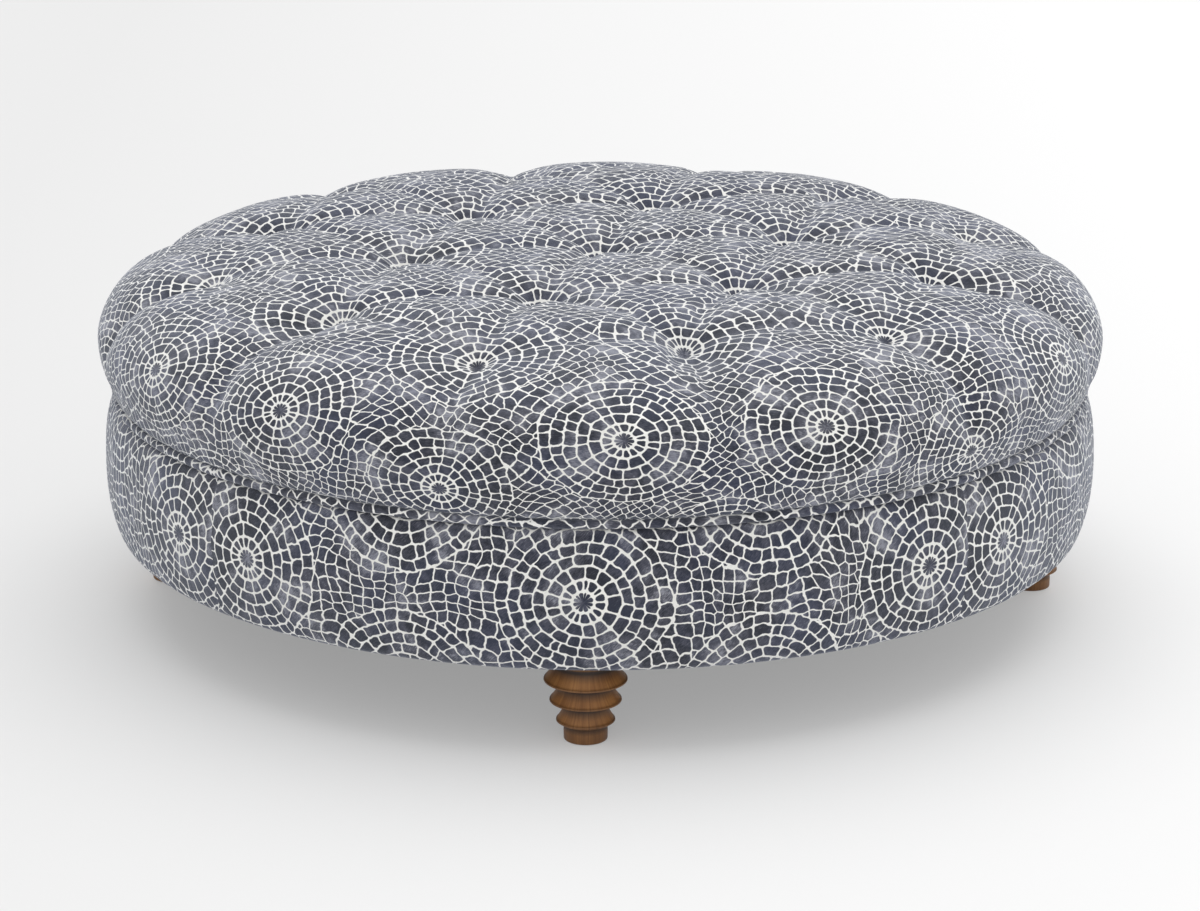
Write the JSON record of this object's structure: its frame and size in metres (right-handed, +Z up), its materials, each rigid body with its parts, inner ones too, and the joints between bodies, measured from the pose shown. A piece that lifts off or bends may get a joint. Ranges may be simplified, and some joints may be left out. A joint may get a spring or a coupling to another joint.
{
  "type": "round tufted tuffet",
  "caption": "Large round upholstered tuffet: a puffed, tufted cushion over a padded drum with a piped waist, standing on short turned legs with stacked rings.",
  "frame": {"origin": "on the floor under the centre of the round plan, at the soles of the glides", "axes": "+Z up; the legs stand on the four diagonals between X and Y; the rows of tufts run along X; front is -Y"},
  "size_m": [1.1648, 1.1648, 0.4175],
  "materials": {
    "fabric": "matte",
    "welt": "matte",
    "foam": "matte",
    "walnut": "satin",
    "plywood": "matte",
    "pine": "matte",
    "hardboard": "matte",
    "cambric": "matte",
    "steel": "satin",
    "nylon": "matte",
    "twine": "matte"
  },
  "bodies": {
    "root": {"glide_back_right": "nylon", "leg_back_right": "walnut", "leg_bolt_back_right": "steel", "leg_nut_back_right": "steel", "glide_back_left": "nylon", "leg_back_left": "walnut", "leg_bolt_back_left": "steel", "leg_nut_back_left": "steel", "glide_front_left": "nylon", "leg_front_left": "walnut", "leg_bolt_front_left": "steel", "leg_nut_front_left": "steel", "glide_front_right": "nylon", "leg_front_right": "walnut", "leg_bolt_front_right": "steel", "leg_nut_front_right": "steel", "dust_cover": "cambric", "base_ring": "plywood", "frame_post_1": "pine", "frame_post_2": "pine", "frame_post_3": "pine", "frame_post_4": "pine", "frame_post_5": "pine", "frame_post_6": "pine", "frame_post_7": "pine", "frame_post_8": "pine", "waist_ring": "plywood", "deck_rail_front": "pine", "deck_rail_back": "pine", "deck_board": "plywood", "band_wall": "hardboard", "band_foam": "foam", "band_cover": "fabric", "waist_welt": "welt", "tuft_tie_01": "twine", "tuft_tie_02": "twine", "tuft_tie_03": "twine", "tuft_tie_04": "twine", "tuft_tie_05": "twine", "tuft_tie_06": "twine", "tuft_tie_07": "twine", "tuft_tie_08": "twine", "tuft_tie_09": "twine", "tuft_tie_10": "twine", "tuft_tie_11": "twine", "tuft_tie_12": "twine", "tuft_tie_13": "twine", "tuft_tie_14": "twine", "tuft_tie_15": "twine", "tuft_tie_16": "twine", "tuft_tie_17": "twine", "tuft_tie_18": "twine", "tuft_tie_19": "twine", "top_foam": "foam", "top_cover": "fabric"}
  },
  "joints": []
}
